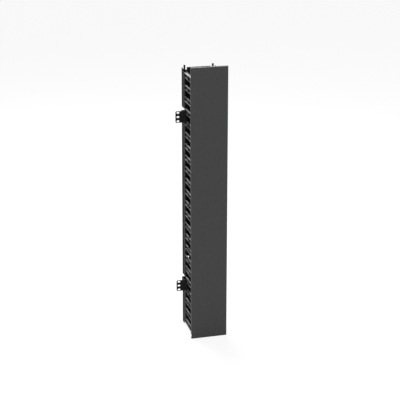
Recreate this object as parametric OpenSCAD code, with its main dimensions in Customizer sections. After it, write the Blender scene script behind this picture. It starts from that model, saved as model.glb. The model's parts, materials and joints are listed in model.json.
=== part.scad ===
// Vertical cable manager, front only, for the side of a rack.
// X runs across the width, Y towards the back and Z up.
// The origin is the centre of the back channel's rear face; the door faces -Y.

/* [Rack] */
// Height of one rack unit
ru = 44.45; // [40:0.05:50]
// Rack units that the finger walls cover
rack_units = 22; // [20:1:24]

/* [Body] */
// Width over the two finger walls
body_w = 130.5; // [120:0.5:150]
// Depth from the rear face to the door's front
depth = 157; // [145:1:180]

/* [Back channel] */
// Thickness of the channel's sheet
channel_t = 1.5; // [1.2:0.1:2]
// Depth of the channel's side flanges
flange_d = 27; // [24:1:32]
// Inside radius of the channel's bends
bend_r = 1.5; // [1:0.5:3]
// How far the channel runs past the end fingers
channel_over = 10.4; // [8:0.2:14]
// Width of the stacking tongues at the top corners
tongue_w = 7; // [5:0.5:9]
// How far the tongues stand above the channel
tongue_rise = 9; // [5:0.5:12]
// Height that is cut off the channel's top corners, on both sides of a tongue
corner_cut_h = 9; // [6:0.2:10]
// Number of cable pass-throughs in the web
pass_count = 5; // [3:1:6]
// Width of a pass-through
pass_w = 44; // [34:1:48]
// Height of a pass-through
pass_h = 104; // [80:1:120]
// Radius of the holes for bolting the web to a frame
rear_bolt_r = 3.3; // [2.6:0.1:4]
// Distance across the rear bolt holes
rear_bolt_w = 84; // [76:1:90]
// Distance between the rear bolt holes' rows
rear_bolt_h = 480; // [420:5:520]

/* [Fingers] */
// Height of one finger
finger_h = 17.9; // [15:0.1:20]
// Gap from the door's front to the finger tips
tip_gap = 15; // [14:0.5:20]
// How far the fingers' ribs stand out of their web
rib_w = 4; // [3:0.25:5]
// Wall thickness of the moulded panels
wall_t = 2; // [1.6:0.1:2.4]
// Height of a finger's T-shaped tip
tip_h = 26; // [22:0.5:30]
// Thickness of the T-shaped tip
tip_t = 5; // [4:0.25:6]
// Width of the T-shaped tip
tip_w = 8; // [6.5:0.25:9]
// Distance from the rear face to the fingers' roots
root_d = 45; // [42:0.5:50]
// Width of the broad rib that ends each wall
end_rib_w = 10; // [8:0.25:10.5]
// Fingers on the upper and on the lower panel of a wall
end_panel_fingers = 8; // [6:1:8]

/* [Rack brackets] */
// Depth of the bracket plate's front from the rear face
bracket_d = 78; // [70:1:95]
// Width of the bracket's plate
plate_w = 42.5; // [38:0.5:50]
// Height of the bracket's plate
plate_h = 43.6; // [40:0.1:44.4]
// Thickness of the bracket's steel
bracket_t = 2; // [1.5:0.1:2.5]
// Distance from the plate's outer edge to its slots
slot_edge = 9.3; // [8:0.1:12]
// Length of a slot
slot_l = 10.4; // [9:0.1:12]
// Width of a slot
slot_w = 7.1; // [6:0.1:8]
// Spacing of the three slots
slot_pitch = 15.875; // [15:0.125:16]
// Radius of the plate's outer corners
plate_r = 5; // [2:0.5:7]
// Height of the bracket's leg and foot
leg_h = 26; // [22:0.5:28]
// Finger, counted from the bottom, under whose top each bracket sits
bracket_fingers = [4, 19];

/* [Door] */
// How far the door stands past the finger walls on each side
door_over = 4.1; // [3.6:0.1:6]
// How far the door rises above the channel
door_above = 32.1; // [30:0.1:40]
// How far the door drops below the channel
door_below = 7; // [6:0.1:10]
// Thickness of the door's sheet
door_t = 1.5; // [1.2:0.1:1.8]
// Depth of the door's folded edges
door_edge_d = 11; // [9:0.25:12]
// Outside radius of the door's folded edges
door_edge_r = 3; // [2:0.25:3.5]

/* [Hinge] */
// Distance from the door's side edge to the hinge axis
axis_in = 5.85; // [5.8:0.05:7]
// Distance from the door's front to the hinge axis
axis_back = 6.5; // [6:0.1:7.5]
// Radius of the hinge pins
pin_r = 2; // [1.6:0.1:2.2]
// Running clearance round the hinge pins
pin_gap = 0.05; // [0.02:0.01:0.1]
// How far a hinge pin is lifted to free the door
pin_lift = 6; // [5:0.5:6.5]
// Thickness of the hinge yokes' steel
yoke_t = 2.5; // [2:0.1:3]
// Height of a yoke's rear flange and arms
yoke_h = 27; // [24:0.5:32]
// Radius of a yoke's ear round the hinge axis
ear_r = 4; // [3.6:0.1:4.2]

/* [Latch] */
// Travel of the latch's plunger
latch_travel = 4; // [3:0.5:5]
// Radius of the latch's plunger
plunger_r = 2.6; // [2:0.1:3]
// Running clearance round the plunger
plunger_gap = 0.05; // [0.02:0.01:0.1]

/* [Hidden] */
$fn = 32;
fingers = rack_units + 1;
wall_h = rack_units*ru + finger_h;          // end to end of a finger wall
channel_h = wall_h + 2*channel_over;
side_x = body_w/2;                          // outer plane of a finger wall
web_y = -channel_t;                         // front of the channel's web
clear = 0.3;                                // gap between parts that move or only pass
// Fingers
finger_tip_y = -(depth - tip_gap);
rib_x = side_x - rib_w;                     // outer face of a finger's web
tongue_x = side_x - channel_t;              // inner face of the channel's flange
tongue_y = [-(flange_d + 1), -8];           // the panel's tongue behind the flange
panel_split = [0, end_panel_fingers, fingers - end_panel_fingers, fingers];
root_r = 5;                                 // fillet where a finger runs into the band
root_bite = 0.3;                            // how far its arc cuts past both faces
rivet_y = -16;
rivet_r = 2;
rivet_head_r = 4;
rivet_head_t = 1.2;
// Cuts in the channel
bend_outer_r = bend_r + channel_t;
tongue_in = 11.2;                           // wall's plane to the middle of a stacking tongue
tongue_mid = side_x - tongue_in;
tongue_r = 1.5;                             // round corners of a tongue
corner_cut_w = 20;                          // width of the cut on each side of a tongue
foot_gap = 0.5;                             // clearance of a tongue in the channel above
bracket_cut_w = 15.3;                       // reach of a bracket's opening into the web
bracket_cut_low = 1;                        // opening's lower edge, above the rack unit's line
bracket_cut_high = 2.5;                     // opening's upper edge, below the rack unit's line
// Snap-in edging of the pass-throughs
pass_r = 10;                                // corner radius of a pass-through
pass_margin = 120;                          // height of web kept clear of pass-throughs
edging_t = 1.2;
edging_lip = 3;                             // how far the lip reaches past the opening
edging_wall = 1.5;
// Rack brackets
leg_drop = ru/2 - bracket_cut_low - clear - leg_h/2;  // the leg stands low in its opening
plate_gap = 0.2;
slot_x = -(side_x + plate_w - slot_edge);
foot_in = 33;                               // how far the foot reaches under the web
foot_screw_x = side_x - 24.3;
foot_screw_dz = 7;
screw_r = 2.5;
screw_head_r = 4.6;
screw_head_t = 2.4;
hole_gap = 0.2;                             // clearance of a screw in its hole
// Hinge
door_edge_x = side_x + door_over;           // half of the door's width
axis_x = door_edge_x - axis_in;
axis_y = -(depth - axis_back);
arm_x = side_x - end_rib_w - 2.25;          // outer face of a yoke's arm
ear_z = wall_h/2 - finger_h/2 + tip_h/2 + 1.6;  // inner face of an ear, from mid-height
ear_t = yoke_t;
arm_slope = [20, 45];                       // where the arm rises to the ear, from the door's front
arm_chamfer = 8;                            // cut off an arm's free corner
arm_front_y = -(depth - door_t - 1);
yoke_mid = wall_h/2 - yoke_h/2 - 1;         // middle of a yoke's height
yoke_screw_x = 34;
bush_t = 0.7;                               // wall of a hinge bushing
bush_flange_t = 0.8;
// Door
door_top = channel_h/2 + door_above;
door_bottom = -(channel_h/2 + door_below);
door_skin_y = -(depth - door_t);            // inner face of the door's skin
ear_notch = 5;                              // door edge cut away above and below an ear
// Hat-shaped stiffener: over its brim and crown, its depth, sheet and distance from the ends
hat_brim_w = 44;
hat_w = 24;
hat_d = 6;
hat_t = 1.2;
hat_end = 65;
// Hinge pin and its bracket, measured up from the ear's top face
tab_t = 1.5;
low_tab = 3;
high_tab = 17.5;
pin_top = 26;
collar_t = 1.5;
collar_r = 3.2;
handle_l = axis_x - pin_r - arm_x - 1;      // the bent handle ends short of the arm
spring_wire = 0.6;
spring_turns = 4;
spring_gap = 0.05;                          // between a spring's end and its seat
pin_spring_gap = 0.7;                       // pin's face to the middle of the wire
pin_bracket_x = [arm_x + 1.5, axis_x + 3.9];
pin_bracket_rim = 3.6;                      // steel behind the pin's axis
// Latch
latch_in = 6.2;                             // arm to the plunger's axis
latch_spring_r = 2.7;
latch_spring_turns = 6;
latch_x = arm_x - yoke_t - latch_in;
latch_r = 5.4;
latch_len = 30;
magnet_t = 3;
magnet_r = 4.2;
latch_wall = 2;
latch_face_y = door_skin_y + magnet_t + latch_travel + 1.2;  // front of the housing

function finger_z(i) = (i - (fingers - 1)/2)*ru;
function bracket_z(i) = finger_z(i) + finger_h/2 - ru/2;
function grid(n, pitch) = [for (i = [0:n - 1]) (i - (n - 1)/2)*pitch];

// A box given by its low and high corners
module block(low, high) { translate(low) cube(high - low); }

// A flat rectangle with round corners, centred
module round_rect(w, h, r) {
    square([w - 2*r, h], center = true);
    square([w, h - 2*r], center = true);
    for (sx = [-1, 1], sz = [-1, 1]) translate([sx*(w/2 - r), sz*(h/2 - r)]) circle(r);
}

// A flat slot with round ends, along X
module slot(l, w) {
    square([l - w, w], center = true);
    for (s = [-1, 1]) translate([s*(l - w)/2, 0]) circle(w/2);
}

// Stands a flat shape in the XZ plane, from y low to y high
module stand(low, high) {
    translate([0, high, 0]) rotate([90, 0, 0]) linear_extrude(high - low) children();
}

// Lays a flat shape drawn in Y and Z against an X plane, from x low to x high
module side(low, high) {
    translate([low, 0, 0]) rotate([90, 0, 90]) linear_extrude(high - low) children();
}

module across(y, z, r, low, high) {
    translate([low, y, z]) rotate([0, 90, 0]) cylinder(r = r, h = high - low);
}

module along_y(x, z, r, low, high) {
    translate([x, high, z]) rotate([90, 0, 0]) cylinder(r = r, h = high - low);
}

// ---- Back channel ----

// Section of the channel in plan, with rounded bends
module channel_section() {
    outer_r = bend_outer_r;
    difference() {
        union() {
            translate([-side_x, -flange_d]) square([body_w, flange_d - outer_r]);
            translate([-side_x + outer_r, -outer_r]) square([body_w - 2*outer_r, outer_r]);
            for (s = [-1, 1]) translate([s*(side_x - outer_r), -outer_r]) circle(outer_r);
        }
        translate([-tongue_x, -flange_d - 1])
            square([2*tongue_x, flange_d + 1 - outer_r]);
        translate([-tongue_x + bend_r, -outer_r - 1])
            square([2*(tongue_x - bend_r), outer_r + 1 - channel_t]);
        for (s = [-1, 1]) translate([s*(tongue_x - bend_r), -outer_r]) circle(bend_r);
    }
}

module back_channel() color([0.09, 0.09, 0.1]) difference() {
    union() {
        translate([0, 0, -channel_h/2]) linear_extrude(channel_h) channel_section();
        for (s = [-1, 1])
            translate([s*tongue_mid, 0, channel_h/2 + (tongue_rise - corner_cut_h)/2 - tongue_r])
                stand(web_y, 0) round_rect(tongue_w, tongue_rise + corner_cut_h + 2*tongue_r, tongue_r);
    }
    // top corners, open on each side of the tongues
    for (s = [-1, 1], edge = [-1, 1])
        translate([s*(tongue_mid + edge*(tongue_w + corner_cut_w)/2), 0, channel_h/2])
            stand(-flange_d - 1, 1) square([corner_cut_w, 2*corner_cut_h], center = true);
    // foot slots that take the tongues of the channel below
    for (s = [-1, 1])
        translate([s*tongue_mid, 0, -channel_h/2]) stand(-channel_t - 1, 1)
            square([tongue_w + 2*foot_gap, 2*(tongue_rise + foot_gap)], center = true);
    // openings for the rack brackets, on both sides so that they can change sides
    for (s = [0, 1], i = bracket_fingers) mirror([s, 0, 0])
        block([side_x - bracket_cut_w, -flange_d - 1, cut_z(i)[0]], [side_x + 1, 1, cut_z(i)[1]]);
    for (z = pass_z()) translate([0, 0, z]) stand(-channel_t - 1, 1) round_rect(pass_w, pass_h, pass_r);
    for (s = [-1, 1], t = [-1, 1])
        along_y(s*rear_bolt_w/2, t*rear_bolt_h/2, rear_bolt_r, -channel_t - 1, 1);
    for (i = bracket_fingers, t = [-1, 1])
        along_y(-foot_screw_x, leg_z(i) + t*foot_screw_dz, screw_r, -channel_t - 1, 1);
    for (s = [-1, 1], t = [-1, 1])
        along_y(s*yoke_screw_x, t*yoke_mid, screw_r, -channel_t - 1, 1);
    for (z = rivet_z()) across(rivet_y, z, rivet_r, -side_x - 1, side_x + 1);
}

function pass_z() = grid(pass_count, (channel_h - pass_margin)/pass_count);
function cut_z(i) = [bracket_z(i) - ru/2 + bracket_cut_low, bracket_z(i) + ru/2 - bracket_cut_high];
function leg_z(i) = bracket_z(i) - leg_drop;

// An edging pressed into each pass-through: a lip in front and a neck flush with the rear face
module pass_through_grommets() color([0.07, 0.07, 0.07])
    for (z = pass_z()) translate([0, 0, z]) difference() {
        union() {
            stand(web_y - edging_t, 0) round_rect(pass_w, pass_h, pass_r);
            stand(web_y - edging_t, web_y)
                round_rect(pass_w + 2*edging_lip, pass_h + 2*edging_lip, pass_r + edging_lip);
        }
        stand(web_y - edging_t - 1, 1)
            round_rect(pass_w - 2*edging_wall, pass_h - 2*edging_wall, pass_r - edging_wall);
    }

// ---- Finger walls ----

// Three rivets to a panel, clear of the openings for the rack brackets
rivet_end = ru/2 + 4;                       // end rivets, from a panel's ends
rivet_skip = 2.6*ru;                        // middle rivet of an end panel, from its inner end
function panel_low(p) = p == 0 ? -wall_h/2 : finger_z(panel_split[p]) - ru/2;
function panel_high(p) = p == 2 ? wall_h/2 : finger_z(panel_split[p + 1]) - ru/2;
function rivet_mid(p) = p == 1 ? 0 : (p == 0 ? panel_high(0) - rivet_skip : panel_low(2) + rivet_skip);
function rivet_z() = [for (p = [0:2]) each [
    panel_low(p) + rivet_end, rivet_mid(p), panel_high(p) - rivet_end]];

// One finger on the right-hand wall: a web with two outward ribs and a T-shaped tip
module finger(bottom_rib, top_rib) {
    block([rib_x - wall_t, finger_tip_y + tip_t/2, -finger_h/2], [rib_x, -root_d + 1, finger_h/2]);
    block([side_x - top_rib, finger_tip_y + tip_t/2, finger_h/2 - wall_t],
          [side_x, -root_d + 1, finger_h/2]);
    block([side_x - bottom_rib, finger_tip_y + tip_t/2, -finger_h/2],
          [side_x, -root_d + 1, -finger_h/2 + wall_t]);
    side(side_x - tip_w, side_x) translate([finger_tip_y + tip_t/2, 0])
        round_rect(tip_t, tip_h, tip_t/2 - 0.1);
    // a stiffening rib half-way along the pocket
    block([rib_x - wall_t, (finger_tip_y - root_d)/2 - wall_t/2, -finger_h/2],
          [side_x - 1, (finger_tip_y - root_d)/2 + wall_t/2, finger_h/2]);
}

// Round fillets where a finger's ribs run into the band; the arc bites a little into both
module root_fillets() {
    mid = [-root_d - root_r + root_bite, finger_h/2 + root_r - root_bite];
    for (t = [-1, 1]) side(rib_x - wall_t, side_x) difference() {
        translate([mid[0], t > 0 ? finger_h/2 - wall_t/2 : -mid[1]])
            square([-root_d + wall_t/2 - mid[0], mid[1] - finger_h/2 + wall_t/2]);
        translate([mid[0], t*mid[1]]) circle(root_r);
    }
}

// A moulded panel of the right-hand wall: its band along the channel and its fingers
module finger_panel(p) {
    low = panel_low(p) + (p > 0 ? clear/2 : 0);
    high = panel_high(p) - (p < 2 ? clear/2 : 0);
    difference() {
        union() {
            block([side_x - wall_t, -root_d, low], [side_x, -flange_d - clear, high]);
            block([rib_x - wall_t, -root_d, low], [side_x, -root_d + wall_t, high]);
            block([tongue_x - wall_t, -flange_d - clear - wall_t, low],
                  [side_x, -flange_d - clear, high]);
            block([tongue_x - wall_t, tongue_y[0], low], [tongue_x, tongue_y[1], high]);
        }
        // the band opens for the rack bracket behind its front wall
        for (i = bracket_fingers)
            block([rib_x - wall_t - 1, -root_d + wall_t, cut_z(i)[0]], [side_x + 1, 0, cut_z(i)[1]]);
        for (z = rivet_z()) across(rivet_y, z, rivet_r, 0, side_x + 1);
    }
    for (i = [panel_split[p]:panel_split[p + 1] - 1]) translate([0, 0, finger_z(i)]) {
        finger(i == 0 ? end_rib_w : rib_w + wall_t, i == fingers - 1 ? end_rib_w : rib_w + wall_t);
        difference() {
            root_fillets();
            if (i == 0) block([0, -depth, -finger_h], [side_x + 1, 0, -finger_h/2]);
            if (i == fingers - 1) block([0, -depth, finger_h/2], [side_x + 1, 0, finger_h]);
        }
    }
}

finger_colour = [0.06, 0.06, 0.065];
module right_lower_fingers() color(finger_colour) finger_panel(0);
module right_middle_fingers() color(finger_colour) finger_panel(1);
module right_upper_fingers() color(finger_colour) finger_panel(2);
module left_lower_fingers() color(finger_colour) mirror([1, 0, 0]) finger_panel(0);
module left_middle_fingers() color(finger_colour) mirror([1, 0, 0]) finger_panel(1);
module left_upper_fingers() color(finger_colour) mirror([1, 0, 0]) finger_panel(2);

// Rivets through the channel's flange and the panels' tongues, domed heads outside
module panel_rivets() {
    for (z = rivet_z()) {
        across(rivet_y, z, rivet_r, tongue_x - wall_t - 1, side_x);
        translate([side_x, rivet_y, z]) rotate([0, 90, 0])
            cylinder(r1 = rivet_head_r, r2 = rivet_head_r - 1.4, h = rivet_head_t);
        across(rivet_y, z, rivet_r + 0.8, tongue_x - wall_t - 1, tongue_x - wall_t);
    }
}
module right_panel_rivets() color([0.12, 0.12, 0.12]) panel_rivets();
module left_panel_rivets() color([0.12, 0.12, 0.12]) mirror([1, 0, 0]) panel_rivets();

// ---- Rack brackets ----

// A folded bracket on the left side: slotted plate, leg past the wall and foot on the web
module rack_bracket(i) color([0.05, 0.05, 0.055]) {
    z = bracket_z(i);
    x_out = -(side_x + plate_w);
    leg_x = [-side_x - plate_gap - bracket_t, -side_x - plate_gap];
    foot_y = web_y - bracket_t;
    difference() {
        union() {
            translate([(x_out + leg_x[1])/2, 0, z]) stand(-bracket_d, -bracket_d + bracket_t)
                round_rect(leg_x[1] - x_out, plate_h, plate_r);
            block([leg_x[0] - plate_r, -bracket_d, z - plate_h/2],
                  [leg_x[1], -bracket_d + bracket_t, z + plate_h/2]);
        }
        for (k = [-1:1]) translate([slot_x, 0, z + k*slot_pitch])
            stand(-bracket_d - 1, -bracket_d + bracket_t + 1) slot(slot_l, slot_w);
    }
    block([leg_x[0], -bracket_d + bracket_t, leg_z(i) - leg_h/2], [leg_x[1], web_y, leg_z(i) + leg_h/2]);
    difference() {
        block([leg_x[1], foot_y, leg_z(i) - leg_h/2], [-side_x + foot_in, web_y, leg_z(i) + leg_h/2]);
        for (t = [-1, 1])
            along_y(-foot_screw_x, leg_z(i) + t*foot_screw_dz, screw_r + hole_gap, foot_y - 1, web_y + 1);
    }
}
module upper_rack_bracket() rack_bracket(bracket_fingers[1]);
module lower_rack_bracket() rack_bracket(bracket_fingers[0]);

// Pan-head screw along Y, its head at the front and its tip flush with the rear face
module web_screw(x, z, head_y) difference() {
    union() {
        along_y(x, z, screw_r, head_y, 0);
        translate([x, head_y, z]) rotate([90, 0, 0])
            cylinder(r1 = screw_head_r, r2 = screw_head_r - 1, h = screw_head_t);
    }
    translate([x, head_y - screw_head_t, z]) stand(-1, 1.4)
        for (a = [0, 90]) rotate(a) square([4.6, 1], center = true);
}
module bracket_screws(i) color([0.3, 0.3, 0.31])
    for (t = [-1, 1]) web_screw(-foot_screw_x, leg_z(i) + t*foot_screw_dz, web_y - bracket_t);
module upper_bracket_screws() bracket_screws(bracket_fingers[1]);
module lower_bracket_screws() bracket_screws(bracket_fingers[0]);

// ---- Hinge yokes ----

// Outline of an arm in Y and Z: it rises towards the door to carry the ear
module arm_outline() {
    polygon([[web_y, yoke_mid - yoke_h/2], [web_y, yoke_mid + yoke_h/2],
             [-depth + arm_slope[1], yoke_mid + yoke_h/2], [-depth + arm_slope[0], ear_z + ear_t],
             [arm_front_y, ear_z + ear_t], [arm_front_y, yoke_mid - yoke_h/2 + arm_chamfer],
             [arm_front_y + arm_chamfer, yoke_mid - yoke_h/2]]);
}

// A U-shaped yoke for the top: rear flange, two arms and two ears with hinge holes
module hinge_yoke() {
    difference() {
        block([-arm_x, web_y - yoke_t, yoke_mid - yoke_h/2], [arm_x, web_y, yoke_mid + yoke_h/2]);
        for (s = [-1, 1])
            along_y(s*yoke_screw_x, yoke_mid, screw_r + hole_gap, web_y - yoke_t - 1, web_y + 1);
    }
    for (s = [0, 1]) mirror([s, 0, 0]) {
        side(arm_x - yoke_t, arm_x) arm_outline();
        translate([0, 0, ear_z]) linear_extrude(ear_t) difference() {
            union() {
                translate([arm_x - yoke_t, arm_front_y])
                    square([axis_x - arm_x + yoke_t, 2*(axis_y - arm_front_y)]);
                translate([axis_x, axis_y]) circle(ear_r);
            }
            translate([axis_x, axis_y]) circle(pin_r + bush_t);
        }
    }
}
yoke_colour = [0.1, 0.1, 0.105];
module top_hinge_yoke() color(yoke_colour) hinge_yoke();
module bottom_hinge_yoke() color(yoke_colour) mirror([0, 0, 1]) hinge_yoke();

module top_yoke_screws() color([0.3, 0.3, 0.31])
    for (s = [-1, 1]) web_screw(s*yoke_screw_x, yoke_mid, web_y - yoke_t);
module bottom_yoke_screws() color([0.3, 0.3, 0.31])
    for (s = [-1, 1]) web_screw(s*yoke_screw_x, -yoke_mid, web_y - yoke_t);

// A flanged bushing in an ear, its flange on the ear's top face at z
module hinge_bushing(z) translate([axis_x, axis_y, z]) difference() {
    union() {
        translate([0, 0, -ear_t]) cylinder(r = pin_r + bush_t, h = ear_t);
        cylinder(r = ear_r - 0.3, h = bush_flange_t);
    }
    translate([0, 0, -ear_t - 1]) cylinder(r = pin_r + pin_gap, h = ear_t + 3);
}
bush_colour = [0.85, 0.85, 0.82];
module upper_hinge_bushing() color(bush_colour) hinge_bushing(ear_z + ear_t);
module lower_hinge_bushing() color(bush_colour) hinge_bushing(-ear_z);
module spare_hinge_bushings() color(bush_colour) mirror([1, 0, 0]) {
    hinge_bushing(ear_z + ear_t);
    hinge_bushing(-ear_z);
}

// ---- Door ----

// Plan of the door's front skin and folded sides, inset by a wall when inner
module door_plan(inset) {
    r = door_edge_r - inset;
    x = door_edge_x - inset;
    front = -depth + inset;
    translate([-x, front + r]) square([2*x, -depth + door_edge_d - front - r + inset]);
    translate([-x + r, front]) square([2*(x - r), r + 0.01]);
    for (s = [-1, 1]) translate([s*(x - r), front + r]) circle(r);
}

module door_panel() color([0.16, 0.16, 0.165]) difference() {
    translate([0, 0, door_bottom]) linear_extrude(door_top - door_bottom) door_plan(0);
    translate([0, 0, door_bottom + door_t])
        linear_extrude(door_top - door_bottom - 2*door_t) door_plan(door_t);
    // the folded sides open round the ears of the yokes
    for (s = [-1, 1], t = [-1, 1])
        block([s > 0 ? door_edge_x - door_t - 1 : -door_edge_x - 1, -depth + door_edge_r,
               t*(ear_z + ear_t/2) - ear_t/2 - ear_notch],
              [s > 0 ? door_edge_x + 1 : -door_edge_x + door_t + 1, 0,
               t*(ear_z + ear_t/2) + ear_t/2 + ear_notch]);
}

// A hat-shaped stiffener welded inside the skin
module door_stiffener() color([0.14, 0.14, 0.145]) {
    h = channel_h - 2*hat_end;
    translate([0, 0, -h/2]) linear_extrude(h) difference() {
        union() {
            translate([-hat_brim_w/2, door_skin_y]) square([hat_brim_w, hat_t]);
            translate([-hat_w/2, door_skin_y]) square([hat_w, hat_d]);
        }
        translate([-hat_w/2 + hat_t, door_skin_y - 1]) square([hat_w - 2*hat_t, hat_d - hat_t + 1]);
    }
}

// ---- Hinge pins on the door, placed by the height of the ear's top face ----

module pin_bracket(z) color([0.1, 0.1, 0.105]) translate([0, 0, z]) difference() {
    flat_x = door_edge_x - door_edge_r;     // where the skin's inner corner starts to curve
    union() {
        block([pin_bracket_x[0], door_skin_y, low_tab], [flat_x, door_skin_y + tab_t, high_tab + tab_t]);
        for (tab = [low_tab, high_tab]) {
            block([pin_bracket_x[0], door_skin_y, tab], [flat_x, axis_y + pin_bracket_rim, tab + tab_t]);
            block([pin_bracket_x[0], door_skin_y + door_edge_r - door_t, tab],
                  [pin_bracket_x[1], axis_y + pin_bracket_rim, tab + tab_t]);
        }
    }
    translate([axis_x, axis_y, 0]) cylinder(r = pin_r + pin_gap, h = pin_top);
}
module upper_pin_bracket() pin_bracket(ear_z + ear_t);
module lower_pin_bracket() pin_bracket(-ear_z);

collar_z = low_tab + tab_t + clear;

// A spring bolt: the pin with its collar and the bent handle that lifts it
module hinge_pin(z) color([0.62, 0.62, 0.64]) translate([axis_x, axis_y, z]) {
    translate([0, 0, -ear_t - 2]) cylinder(r = pin_r, h = pin_top + ear_t + 2 - pin_r);
    translate([0, 0, collar_z]) cylinder(r = collar_r, h = collar_t);
    translate([0, 0, pin_top - pin_r]) sphere(pin_r);
    translate([-handle_l, 0, pin_top - pin_r]) rotate([0, 90, 0]) cylinder(r = pin_r, h = handle_l);
    translate([-handle_l, 0, pin_top - pin_r]) sphere(pin_r);
}
module upper_hinge_pin() hinge_pin(ear_z + ear_t);
module lower_hinge_pin() hinge_pin(-ear_z);

// A round wire swept along a helix on +Z, with 6 sides and 14 rings to a turn
module coil_spring(r, wire, turns, length) {
    rings = 14*turns;
    sides = 6;
    pitch = (length - 2*wire)/turns;
    points = [for (i = [0:rings], k = [0:sides - 1])
        let (a = 360*i/14, b = 360*k/sides, rr = r + wire/2*cos(b))
        [rr*cos(a), rr*sin(a), wire + pitch*i/14 + wire/2*sin(b)]];
    quads = [for (i = [0:rings - 1], k = [0:sides - 1])
        [i*sides + k, i*sides + (k + 1)%sides, (i + 1)*sides + (k + 1)%sides, (i + 1)*sides + k]];
    polyhedron(points, concat(quads, [[for (k = [sides - 1:-1:0]) k]],
                              [[for (k = [0:sides - 1]) rings*sides + k]]));
}

spring_z = collar_z + collar_t + spring_gap;
module pin_spring(z) color([0.7, 0.7, 0.72]) translate([axis_x, axis_y, z + spring_z])
    coil_spring(pin_r + pin_spring_gap, spring_wire, spring_turns, high_tab - spring_z - spring_gap);
module upper_pin_spring() pin_spring(ear_z + ear_t);
module lower_pin_spring() pin_spring(-ear_z);

// ---- Push latches on the left-hand arms ----

latch_back_y = latch_face_y + latch_len;
head_y = latch_face_y + latch_wall + 0.1;   // the plunger's head rests behind the front wall
head_t = 2;
head_r = 3.6;
chamber_r = 4;
tail_r = 1.4;
latch_screw_y = [latch_face_y + 7, latch_back_y - 7];
latch_screw_r = 1.5;

module latch_housing(z) color([0.08, 0.08, 0.085]) translate([0, 0, z]) difference() {
    union() {
        along_y(-latch_x, 0, latch_r, latch_face_y, latch_back_y);
        block([-arm_x + yoke_t, latch_face_y, -latch_r], [-latch_x, latch_back_y, latch_r]);
    }
    along_y(-latch_x, 0, chamber_r, latch_face_y + latch_wall, latch_back_y - latch_wall);
    along_y(-latch_x, 0, plunger_r + plunger_gap, latch_face_y - 1, latch_face_y + latch_wall + 1);
}

module latch_plunger(z) color([0.8, 0.8, 0.78]) translate([0, 0, z]) {
    along_y(-latch_x, 0, plunger_r, door_skin_y + magnet_t + clear, head_y);
    along_y(-latch_x, 0, head_r, head_y, head_y + head_t);
    along_y(-latch_x, 0, tail_r, head_y + head_t, latch_back_y - latch_wall - latch_travel - 2);
}

module latch_magnet(z) color([0.45, 0.45, 0.47]) translate([0, 0, z])
    along_y(-latch_x, 0, magnet_r, door_skin_y + clear, door_skin_y + magnet_t + clear);

module latch_spring(z) color([0.7, 0.7, 0.72]) {
    y = head_y + head_t + spring_gap;
    translate([-latch_x, y, z]) rotate([-90, 0, 0])
        coil_spring(latch_spring_r, spring_wire, latch_spring_turns,
                    latch_back_y - latch_wall - spring_gap - y);
}

// Heads of the two screws that hold a latch's housing to the arm
module latch_screws(z) color([0.3, 0.3, 0.31]) for (y = latch_screw_y) {
    across(y, z, latch_screw_r + 1.2, -arm_x - 1.2, -arm_x);
}

module upper_latch_housing() latch_housing(yoke_mid);
module lower_latch_housing() latch_housing(-yoke_mid);
module upper_latch_plunger() latch_plunger(yoke_mid);
module lower_latch_plunger() latch_plunger(-yoke_mid);
module upper_latch_magnet() latch_magnet(yoke_mid);
module lower_latch_magnet() latch_magnet(-yoke_mid);
module upper_latch_spring() latch_spring(yoke_mid);
module lower_latch_spring() latch_spring(-yoke_mid);
module upper_latch_screws() latch_screws(yoke_mid);
module lower_latch_screws() latch_screws(-yoke_mid);

back_channel();
pass_through_grommets();
left_upper_fingers();
left_middle_fingers();
left_lower_fingers();
right_upper_fingers();
right_middle_fingers();
right_lower_fingers();
left_panel_rivets();
right_panel_rivets();
upper_rack_bracket();
lower_rack_bracket();
upper_bracket_screws();
lower_bracket_screws();
top_hinge_yoke();
bottom_hinge_yoke();
top_yoke_screws();
bottom_yoke_screws();
upper_hinge_bushing();
lower_hinge_bushing();
spare_hinge_bushings();
door_panel();
door_stiffener();
upper_pin_bracket();
lower_pin_bracket();
upper_hinge_pin();
lower_hinge_pin();
upper_pin_spring();
lower_pin_spring();
upper_latch_housing();
lower_latch_housing();
upper_latch_plunger();
lower_latch_plunger();
upper_latch_spring();
lower_latch_spring();
upper_latch_magnet();
lower_latch_magnet();
upper_latch_screws();
lower_latch_screws();
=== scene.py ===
"""A vertical cable manager for a rack: a folded steel channel with two walls of moulded fingers,
brackets on its left side and a hinged steel door."""
import json
import math

import bmesh
import bpy
from mathutils import Matrix, Vector

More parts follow.
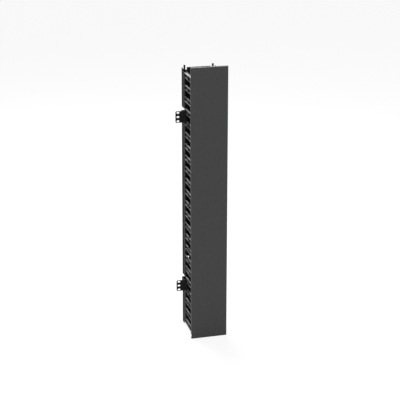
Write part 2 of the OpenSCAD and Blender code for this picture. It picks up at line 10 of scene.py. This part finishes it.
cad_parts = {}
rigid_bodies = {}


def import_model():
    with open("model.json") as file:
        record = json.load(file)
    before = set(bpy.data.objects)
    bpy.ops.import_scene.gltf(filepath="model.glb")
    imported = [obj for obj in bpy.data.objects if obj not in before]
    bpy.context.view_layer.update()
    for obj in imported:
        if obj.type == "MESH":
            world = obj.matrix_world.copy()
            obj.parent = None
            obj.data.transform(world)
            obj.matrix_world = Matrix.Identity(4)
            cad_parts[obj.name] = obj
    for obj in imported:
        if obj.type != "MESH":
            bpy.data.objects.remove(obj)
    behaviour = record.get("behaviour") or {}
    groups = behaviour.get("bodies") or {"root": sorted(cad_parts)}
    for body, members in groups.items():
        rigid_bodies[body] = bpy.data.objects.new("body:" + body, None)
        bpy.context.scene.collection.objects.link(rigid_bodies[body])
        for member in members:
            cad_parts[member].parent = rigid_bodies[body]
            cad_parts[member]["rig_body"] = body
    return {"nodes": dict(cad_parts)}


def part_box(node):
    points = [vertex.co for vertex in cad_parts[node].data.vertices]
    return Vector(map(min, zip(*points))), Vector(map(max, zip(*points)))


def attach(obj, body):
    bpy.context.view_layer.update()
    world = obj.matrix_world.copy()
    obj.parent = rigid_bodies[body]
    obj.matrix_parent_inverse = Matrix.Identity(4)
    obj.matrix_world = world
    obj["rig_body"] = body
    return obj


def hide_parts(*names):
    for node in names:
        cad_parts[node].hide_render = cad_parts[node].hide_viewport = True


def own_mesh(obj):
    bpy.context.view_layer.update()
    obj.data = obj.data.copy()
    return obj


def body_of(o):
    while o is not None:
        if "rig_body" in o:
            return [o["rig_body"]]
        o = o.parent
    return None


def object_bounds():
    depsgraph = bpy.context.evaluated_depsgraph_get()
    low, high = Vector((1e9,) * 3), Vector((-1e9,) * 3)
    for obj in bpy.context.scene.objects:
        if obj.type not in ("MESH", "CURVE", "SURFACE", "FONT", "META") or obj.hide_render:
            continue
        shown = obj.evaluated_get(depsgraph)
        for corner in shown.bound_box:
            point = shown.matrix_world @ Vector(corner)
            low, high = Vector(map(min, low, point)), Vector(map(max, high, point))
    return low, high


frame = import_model()
cad_low, cad_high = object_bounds()

# ---- Studio: floor, backdrop, lamps and camera -------------------------------------------------
# A white floor in a white room, seen as white by the camera and by reflections. The room and two
# large soft panels light the object, one panel in front and one above and behind. The floor lies
# just under the object's lowest edge.
scene = bpy.context.scene
scene.view_settings.view_transform = "Standard"


def node_tree(owner):
    """The owner's node tree, emptied."""
    owner.use_nodes = True
    owner.node_tree.nodes.clear()
    return owner.node_tree


def add_node(tree, kind, values=None, **settings):
    """A node of one kind, with its settings and the values of its inputs."""
    node = tree.nodes.new(kind)
    for name, value in settings.items():
        setattr(node, name, value)
    for name, value in (values or {}).items():
        node.inputs[name].default_value = value
    return node


def is_seen(tree):
    """One where the camera, a reflection or a view through glass looks, and nought elsewhere."""
    path = add_node(tree, "ShaderNodeLightPath")
    seen = path.outputs["Is Camera Ray"]
    for ray in ("Is Glossy Ray", "Is Transmission Ray"):
        either = add_node(tree, "ShaderNodeMath", operation="MAXIMUM")
        tree.links.new(seen, either.inputs[0])
        tree.links.new(path.outputs[ray], either.inputs[1])
        seen = either.outputs[0]
    return seen


def lit_and_seen(tree, lit, seen, share, out):
    """Ends a tree with a shader that takes part in the light and one that a share of views see."""
    mix = add_node(tree, "ShaderNodeMixShader")
    for socket, source in zip(mix.inputs, (share, lit.outputs[0], seen.outputs[0])):
        tree.links.new(source, socket)
    tree.links.new(mix.outputs[0], out.inputs[0])


white = (1, 1, 1, 1)
room_light, seen_light = 0.55, 1.0
world = bpy.data.worlds.new("studio_air")
scene.world = world
air = node_tree(world)
lit_and_seen(air,
             add_node(air, "ShaderNodeBackground", {"Color": white, "Strength": room_light}),
             add_node(air, "ShaderNodeBackground", {"Color": white, "Strength": seen_light}),
             is_seen(air), add_node(air, "ShaderNodeOutputWorld"))

floor_reach, floor_gap = 30, 0.0005
floor_mesh = bpy.data.meshes.new("floor")
floor = bpy.data.objects.new("floor", floor_mesh)
scene.collection.objects.link(floor)
bm = bmesh.new()
bmesh.ops.create_grid(bm, x_segments=1, y_segments=1, size=floor_reach)
bmesh.ops.translate(bm, vec=(0, 0, cad_low.z - floor_gap), verts=bm.verts)
bm.to_mesh(floor_mesh)
bm.free()

# the floor glows for most of what is seen of it, and the rest is matt paint that shows a shadow
floor_grey, glow_share = (0.92, 0.92, 0.92, 1), 0.88
floor_paint = bpy.data.materials.new("studio_floor")
tree = node_tree(floor_paint)
share = add_node(tree, "ShaderNodeMath", {1: glow_share}, operation="MULTIPLY")
tree.links.new(is_seen(tree), share.inputs[0])
lit_and_seen(tree,
             add_node(tree, "ShaderNodeBsdfDiffuse", {"Color": floor_grey}),
             add_node(tree, "ShaderNodeEmission", {"Color": white, "Strength": seen_light}),
             share.outputs[0], add_node(tree, "ShaderNodeOutputMaterial"))
floor_mesh.materials.append(floor_paint)


def soft_panel(name, place, target, size, watts):
    """A square soft lamp that faces a target."""
    lamp = bpy.data.lights.new(name, "AREA")
    lamp.shape = "SQUARE"
    lamp.size = size
    lamp.energy = watts
    holder = bpy.data.objects.new(name, lamp)
    scene.collection.objects.link(holder)
    holder.location = place
    holder.rotation_euler = (Vector(target) - Vector(place)).to_track_quat("-Z", "Y").to_euler()


soft_panel("front_panel", (0.4, -3.4, 2.0), (0, 0, 0), 1.8, 40)
soft_panel("top_panel", (-0.3, 1.5, 2.4), (0, 0, 0.1), 1.6, 170)

camera_dip, camera_turn = math.radians(19.064), math.radians(-14.831)
camera = bpy.data.objects.new("camera", bpy.data.cameras.new("camera"))
scene.collection.objects.link(camera)
camera.data.sensor_width = 36
camera.data.lens = 110.43
camera.data.clip_end = 60
camera.location = (-1.1291, -4.2842, 1.5187)
camera.rotation_euler = (math.radians(90) - camera_dip, 0, camera_turn)
scene.camera = camera

# ---- Back channel ------------------------------------------------------------------------------
# The channel that carries everything is one steel sheet, cut and folded, with stacking tongues
# on top, slots below for the tongues of another channel, and openings for cables in its web. It
# has a black powder coat.
MM = 0.001
nodes = frame["nodes"]


def effect_group(name, inputs, outputs):
    """A new shader node group with inputs (name: value) and outputs, all of them plain values."""
    group = bpy.data.node_groups.new(name, "ShaderNodeTree")
    for label, value in inputs.items():
        socket = group.interface.new_socket(label, in_out="INPUT", socket_type="NodeSocketFloat")
        socket.default_value = value
    for label in outputs:
        group.interface.new_socket(label, in_out="OUTPUT", socket_type="NodeSocketFloat")
    return group, group.nodes.new("NodeGroupInput"), group.nodes.new("NodeGroupOutput")


def powder_group():
    """Orange peel and fine grit of baked powder: a height, a mottle mask and a fleck mask."""
    group, given, made = effect_group("powder_coat",
                                      {"Grain per metre": 900, "Peel per metre": 160},
                                      ("Height", "Mottle", "Fleck"))
    place = add_node(group, "ShaderNodeTexCoord")
    grain = add_node(group, "ShaderNodeTexNoise", {"Detail": 3, "Roughness": 0.6})
    peel = add_node(group, "ShaderNodeTexNoise", {"Detail": 1, "Roughness": 0.4})
    cloud = add_node(group, "ShaderNodeTexNoise", {"Scale": 6, "Detail": 3, "Roughness": 0.55})
    half = add_node(group, "ShaderNodeMath", {1: 0.5}, operation="MULTIPLY")
    both = add_node(group, "ShaderNodeMath", operation="ADD")
    fleck = add_node(group, "ShaderNodeMapRange", {"From Min": 0.62, "From Max": 0.74})
    for texture in (grain, peel, cloud):
        group.links.new(place.outputs["Object"], texture.inputs["Vector"])
    group.links.new(given.outputs["Grain per metre"], grain.inputs["Scale"])
    group.links.new(given.outputs["Peel per metre"], peel.inputs["Scale"])
    group.links.new(grain.outputs["Fac"], half.inputs[0])
    group.links.new(half.outputs[0], both.inputs[0])
    group.links.new(peel.outputs["Fac"], both.inputs[1])
    group.links.new(grain.outputs["Fac"], fleck.inputs["Value"])
    group.links.new(both.outputs[0], made.inputs["Height"])
    group.links.new(cloud.outputs["Fac"], made.inputs["Mottle"])
    group.links.new(fleck.outputs["Result"], made.inputs["Fleck"])
    return group


def patchy(group, given, made, mask, noise, low, high):
    """Ends an effect: a mask, broken up by noise between low and high, times the Amount."""
    place = add_node(group, "ShaderNodeTexCoord")
    blots = add_node(group, "ShaderNodeTexNoise", noise)
    uneven = add_node(group, "ShaderNodeMapRange", {"From Min": low, "From Max": high})
    meet = add_node(group, "ShaderNodeMath", operation="MULTIPLY")
    scaled = add_node(group, "ShaderNodeMath", operation="MULTIPLY")
    group.links.new(place.outputs["Object"], blots.inputs["Vector"])
    group.links.new(blots.outputs["Fac"], uneven.inputs["Value"])
    group.links.new(mask, meet.inputs[0])
    group.links.new(uneven.outputs["Result"], meet.inputs[1])
    group.links.new(meet.outputs[0], scaled.inputs[0])
    group.links.new(given.outputs["Amount"], scaled.inputs[1])
    group.links.new(scaled.outputs[0], made.inputs["Mask"])


def wear_group():
    """Patches along the outer edges, where they are rubbed."""
    group, given, made = effect_group("edge_wear", {"Amount": 0.5}, ("Mask",))
    shape = add_node(group, "ShaderNodeNewGeometry")
    edge = add_node(group, "ShaderNodeMapRange", {"From Min": 0.52, "From Max": 0.62})
    group.links.new(shape.outputs["Pointiness"], edge.inputs["Value"])
    patchy(group, given, made, edge.outputs["Result"],
           {"Scale": 70, "Detail": 4, "Roughness": 0.65}, 0.45, 0.65)
    return group


def dust_and_highlight_group():
    """A thin uneven pale film on faces that look upwards: dust, and a painted highlight on those
    tops.
    """
    group, given, made = effect_group("dust_and_highlight", {"Amount": 0.3}, ("Mask",))
    shape = add_node(group, "ShaderNodeNewGeometry")
    split = add_node(group, "ShaderNodeSeparateXYZ")
    up = add_node(group, "ShaderNodeMapRange", {"From Min": 0.5, "From Max": 1.0})
    group.links.new(shape.outputs["Normal"], split.inputs[0])
    group.links.new(split.outputs["Z"], up.inputs["Value"])
    patchy(group, given, made, up.outputs["Result"],
           {"Scale": 45, "Detail": 5, "Roughness": 0.7}, 0.35, 0.7)
    return group


powder, wear, dust_and_highlight = powder_group(), wear_group(), dust_and_highlight_group()


def brighter(colour, times):
    """A colour made brighter, up to white, or darker."""
    return tuple(min(1, times*part) for part in colour)


def tinted(tree, mask, under, over):
    """Lays a colour over another one, or over a colour socket, by a mask."""
    mix = add_node(tree, "ShaderNodeMix", data_type="RGBA")
    colour_a, colour_b, colour_result = mix.inputs[6], mix.inputs[7], mix.outputs[2]
    tree.links.new(mask, mix.inputs["Factor"])
    if isinstance(under, tuple):
        colour_a.default_value = (*under, 1)
    else:
        tree.links.new(under, colour_a)
    colour_b.default_value = (*over, 1)
    return colour_result


def aged(tree, colour, worn, wear_amount, dust_and_highlight_amount):
    """A colour with its outer edges worn to another, and dust with a painted highlight on what
    looks upwards.
    """
    # the pale grey laid on up-facing faces stands for dust and also for painted top light
    dust_and_highlight_grey = (0.36, 0.36, 0.35)
    rubbed = add_node(tree, "ShaderNodeGroup", {"Amount": wear_amount}, node_tree=wear)
    dust_and_highlight_film = add_node(tree, "ShaderNodeGroup", {"Amount": dust_and_highlight_amount}, node_tree=dust_and_highlight)
    edged = tinted(tree, rubbed.outputs["Mask"], colour, worn)
    return tinted(tree, dust_and_highlight_film.outputs["Mask"], edged, dust_and_highlight_grey)


def surface(tree, values, colour, rough, spread, mask):
    """A shader with a colour, and a roughness that a mask moves by a spread to either side."""
    shader = add_node(tree, "ShaderNodeBsdfPrincipled", values)
    out = add_node(tree, "ShaderNodeOutputMaterial")
    uneven = add_node(tree, "ShaderNodeMapRange",
                      {"To Min": rough - spread, "To Max": rough + spread})
    tree.links.new(mask, uneven.inputs["Value"])
    tree.links.new(uneven.outputs["Result"], shader.inputs["Roughness"])
    tree.links.new(colour, shader.inputs["Base Color"])
    tree.links.new(shader.outputs[0], out.inputs[0])
    return shader


def grained(tree, shader, height, bump, depth):
    """Gives a shader the relief of a height."""
    relief = add_node(tree, "ShaderNodeBump", {"Strength": bump, "Distance": depth})
    tree.links.new(height, relief.inputs["Height"])
    tree.links.new(relief.outputs["Normal"], shader.inputs["Normal"])


def powder_coated(name, colour, mottle, rough, bump, gloss, wear_amount):
    """A powder-coated steel finish."""
    paint = bpy.data.materials.new(name)
    tree = node_tree(paint)
    coat = add_node(tree, "ShaderNodeGroup", node_tree=powder)
    clouded = tinted(tree, coat.outputs["Mottle"], colour, mottle)
    flecked = tinted(tree, coat.outputs["Fleck"], clouded, brighter(colour, 1.5))
    rubbed_steel = (0.12, 0.12, 0.12)
    shader = surface(tree, {"IOR": 1.5, "Specular IOR Level": gloss},
                     aged(tree, flecked, rubbed_steel, wear_amount, dust_and_highlight_amount=0.25),
                     rough, spread=0.03, mask=coat.outputs["Mottle"])
    grained(tree, shader, coat.outputs["Height"], bump, depth=0.2*MM)
    return paint


def merged(node):
    """A mesh to work on, from a CAD node's loose triangles with their corners joined."""
    bm = bmesh.new()
    bm.from_mesh(nodes[node].data)
    bmesh.ops.remove_doubles(bm, verts=bm.verts, dist=0.002*MM)
    return bm


def piece_from(bm, name, finish):
    """A piece with its finish, made from a finished mesh."""
    mesh = bpy.data.meshes.new(name)
    bm.to_mesh(mesh)
    bm.free()
    mesh.materials.append(finish)
    piece = bpy.data.objects.new(name, mesh)
    scene.collection.objects.link(piece)
    return piece


def node_body(node):
    """The body that a CAD node moves with."""
    return body_of(nodes[node])[0]


def stand_for(piece, node):
    """Puts a piece in the place of a CAD node, on its body, and hides the node."""
    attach(piece, node_body(node))
    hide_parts(node)


flat_enough = math.radians(0.5)


def rounded(node, finish, radius):
    """A copy of a CAD node with its flat faces whole and its edges rounded, in its place."""
    sharp_enough = math.radians(30)
    bm = merged(node)
    bmesh.ops.dissolve_limit(bm, angle_limit=flat_enough, verts=bm.verts, edges=bm.edges,
                             use_dissolve_boundaries=False)
    crisp = [e for e in bm.edges
             if len(e.link_faces) == 2 and e.calc_face_angle(0) > sharp_enough]
    bmesh.ops.bevel(bm, geom=crisp, offset=radius*MM, offset_type="OFFSET", segments=2,
                    profile=0.5, affect="EDGES", material=-1, clamp_overlap=False)
    for face in bm.faces:
        face.smooth = True
        face.material_index = 0
    piece = piece_from(bm, node + "_rounded", finish)
    even = piece.modifiers.new("even_shading", "WEIGHTED_NORMAL")
    even.keep_sharp = True
    stand_for(piece, node)


black_coat = powder_coated("black_powder", (0.012, 0.012, 0.013), (0.0145, 0.0145, 0.0155),
                           rough=0.7, bump=0.3, gloss=0.04, wear_amount=0.1)
rounded("back_channel", black_coat, 0.3)

# The top ends of the side flanges and of the web's middle stand as high as the channel, with a
# notch left on each side of a stacking tongue. They are the same sheet, so they repeat its
# section from just below. The CAD channel's corner cuts go from cut_in past the flanges.
slice_low, slice_high, lift = 0.488, 0.497, 0.0113
cut_in, notch_in, notch_out, past_flange = 0.0305, 0.045, 0.0617, 0.07
ends = bmesh.new()
for side in (-1, 1):
    for near, far in ((notch_out, past_flange), (cut_in, notch_in)):
        bm = merged("back_channel")
        for spot, facing in (((0, 0, slice_low), (0, 0, -1)), ((0, 0, slice_high), (0, 0, 1)),
                             ((side*near, 0, 0), (-side, 0, 0)), ((side*far, 0, 0), (side, 0, 0))):
            cut = bmesh.ops.bisect_plane(bm, geom=bm.verts[:] + bm.edges[:] + bm.faces[:],
                                         plane_co=spot, plane_no=facing, clear_outer=True)
            rim = [e for e in cut["geom_cut"] if isinstance(e, bmesh.types.BMEdge)]
            bmesh.ops.holes_fill(bm, edges=rim, sides=0)
        bmesh.ops.dissolve_limit(bm, angle_limit=flat_enough, verts=bm.verts, edges=bm.edges)
        bmesh.ops.translate(bm, vec=(0, 0, lift), verts=bm.verts)
        one_end = bpy.data.meshes.new("one_end")
        bm.to_mesh(one_end)
        bm.free()
        ends.from_mesh(one_end)
        bpy.data.meshes.remove(one_end)
bmesh.ops.recalc_face_normals(ends, faces=ends.faces)
channel_ends = piece_from(ends, "channel_ends", black_coat)
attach(channel_ends, "root")

# ---- Finger walls ------------------------------------------------------------------------------
# Each wall is three injection-moulded panels of black plastic, with 23 fingers between them.
# Nine rivets of the same plastic hold a wall to the channel's flange.


def moulded(name, colour, paler, rough, bump, gloss, dust_and_highlight_amount):
    """A moulded plastic finish with the fine spark-eroded texture of its mould."""
    plastic = bpy.data.materials.new(name)
    tree = node_tree(plastic)
    place = add_node(tree, "ShaderNodeTexCoord")
    skin = add_node(tree, "ShaderNodeTexNoise", {"Scale": 1400, "Detail": 2, "Roughness": 0.6})
    flow = add_node(tree, "ShaderNodeTexNoise", {"Scale": 22, "Detail": 4, "Roughness": 0.6})
    for texture in (skin, flow):
        tree.links.new(place.outputs["Object"], texture.inputs["Vector"])
    streaked = tinted(tree, flow.outputs["Fac"], colour, paler)
    shader = surface(tree, {"IOR": 1.5, "Specular IOR Level": gloss},
                     aged(tree, streaked, brighter(paler, 2.2), wear_amount=0.5,
                          dust_and_highlight_amount=dust_and_highlight_amount),
                     rough, spread=0.08, mask=flow.outputs["Fac"])
    grained(tree, shader, skin.outputs["Fac"], bump, depth=0.1*MM)
    return plastic


def dress(finish, *names):
    """Gives CAD nodes a finish."""
    for name in names:
        for spot in nodes[name].material_slots:
            spot.link = "DATA"
            spot.material = finish


# on the black plastic the up-facing pale film is at full amount, mostly a painted highlight on the
# fingers' top faces
black_plastic = moulded("black_moulded_plastic", (0.014, 0.014, 0.015), (0.019, 0.019, 0.020),
                        rough=0.55, bump=0.2, gloss=0.05, dust_and_highlight_amount=1.0)
for side in ("left", "right"):
    for part in ("upper", "middle", "lower"):
        rounded(f"{side}_{part}_fingers", black_plastic, 0.35)
    dress(black_plastic, f"{side}_panel_rivets")

# ---- Pass-through edgings ----------------------------------------------------------------------
# A ring of the same plastic is pressed into each cable opening of the channel, with a lip in
# front and a neck that ends flush with the rear face.
dress(black_plastic, "pass_through_grommets")

# ---- Rack brackets -----------------------------------------------------------------------------
# Each is folded from one strip of steel with the channel's coat: a slotted plate, a leg past the
# finger wall and a foot on the web. Two screws with black zinc plating hold it.


def plated(name, colour, rough):
    """A plated metal, a little uneven in tone and shine."""
    metal = bpy.data.materials.new(name)
    tree = node_tree(metal)
    place = add_node(tree, "ShaderNodeTexCoord")
    spangle = add_node(tree, "ShaderNodeTexNoise", {"Scale": 500, "Detail": 4, "Roughness": 0.7})
    tree.links.new(place.outputs["Object"], spangle.inputs["Vector"])
    clouded = tinted(tree, spangle.outputs["Fac"], colour, brighter(colour, 0.7))
    surface(tree, {"Metallic": 1.0}, clouded, rough, spread=0.1, mask=spangle.outputs["Fac"])
    return metal


black_zinc = plated("black_zinc", (0.10, 0.10, 0.105), 0.4)
for end in ("upper", "lower"):
    rounded(f"{end}_rack_bracket", black_coat, 0.3)
    rounded(f"{end}_bracket_screws", black_zinc, 0.12)

# ---- Hinge yokes and bushings ------------------------------------------------------------------
# A U-shaped yoke of bent steel is screwed to the web at the top and at the bottom. A flanged
# bushing of natural nylon sits in each of their four ears, so that the door can change sides.
nylon = moulded("natural_nylon", (0.62, 0.61, 0.57), (0.72, 0.71, 0.67),
                rough=0.45, bump=0.2, gloss=0.5, dust_and_highlight_amount=0.3)
for end in ("top", "bottom"):
    rounded(f"{end}_hinge_yoke", black_coat, 0.3)
    rounded(f"{end}_yoke_screws", black_zinc, 0.12)
dress(nylon, "upper_hinge_bushing", "lower_hinge_bushing", "spare_hinge_bushings")

# ---- Door --------------------------------------------------------------------------------------
# The skin is cold-rolled sheet, folded on a brake along its edges, with a hat-shaped stiffener
# welded inside. Both have a fine-grained charcoal powder coat and swing together.
door_coat = powder_coated("charcoal_powder", (0.0325, 0.0325, 0.0335), (0.034, 0.034, 0.035),
                          rough=0.6, bump=0.12, gloss=0.3, wear_amount=0.15)
rounded("door_panel", door_coat, 0.35)
rounded("door_stiffener", door_coat, 0.3)

# ---- Hinge pins --------------------------------------------------------------------------------
# At each end of the door's right edge a zinc-plated pin with a bent handle slides in a steel
# bracket. A spring of drawn wire, with a closed turn at each end, presses it into its bushing,
# and lifting it frees the door.
zinc = plated("zinc_plate", (0.62, 0.63, 0.64), 0.35)
wire = 0.6*MM
along_y, along_z = 1, 2


def coil(node, axis, turns):
    """A wire spring along +Y or +Z in the place of a CAD spring."""
    low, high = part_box(node)
    long = high[axis] - low[axis]
    middle = [(low[i] + high[i])/2 for i in range(3)]
    radius = (high[0] - low[0] - wire)/2
    steps = 24
    rise = (long - 3*wire)/(turns - 2)
    bm = bmesh.new()
    place = Matrix.Translation((radius, 0, wire/2)) @ Matrix.Rotation(math.radians(90), 4, "X")
    ring = bmesh.ops.create_circle(bm, segments=10, radius=wire/2, matrix=place)["verts"]
    last = ring + bm.edges[:]
    for count, pitch in ((1, wire), (turns - 2, rise), (1, wire)):
        last = bmesh.ops.spin(bm, geom=last, cent=(0, 0, 0), axis=(0, 0, 1),
                              dvec=(0, 0, pitch/steps), angle=2*math.pi*count,
                              steps=steps*count, use_duplicate=False,
                              use_merge=False)["geom_last"]
    bmesh.ops.holes_fill(bm, edges=[e for e in bm.edges if e.is_boundary], sides=0)
    bmesh.ops.recalc_face_normals(bm, faces=bm.faces)
    for face in bm.faces:
        face.smooth = len(face.verts) == 4
    foot, anchor = Vector(middle), Vector(middle)
    foot[axis], anchor[axis] = low[axis], high[axis]
    turn = Matrix.Identity(4) if axis == along_z else Matrix.Rotation(math.radians(-90), 4, "X")
    bmesh.ops.transform(bm, matrix=Matrix.Translation(foot) @ turn, verts=bm.verts)
    piece = piece_from(bm, node + "_wire", zinc)
    stand_for(piece, node)
    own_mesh(piece)


for end in ("upper", "lower"):
    rounded(f"{end}_pin_bracket", black_coat, 0.3)
    dress(zinc, f"{end}_hinge_pin")
    coil(f"{end}_pin_spring", along_z, turns=5)

# ---- Push latches ------------------------------------------------------------------------------
# A black plastic housing on each yoke's left arm guides a nylon plunger, with a nickel-plated
# magnet on its tip that holds the door. A spring of the same wire presses the plunger out, and
# two screws hold the housing.
nickel = plated("nickel_plate", (0.55, 0.54, 0.52), 0.25)
for end in ("upper", "lower"):
    dress(black_plastic, f"{end}_latch_housing")
    dress(nylon, f"{end}_latch_plunger")
    coil(f"{end}_latch_spring", along_y, turns=8)
    rounded(f"{end}_latch_magnet", nickel, 0.3)
    rounded(f"{end}_latch_screws", black_zinc, 0.12)
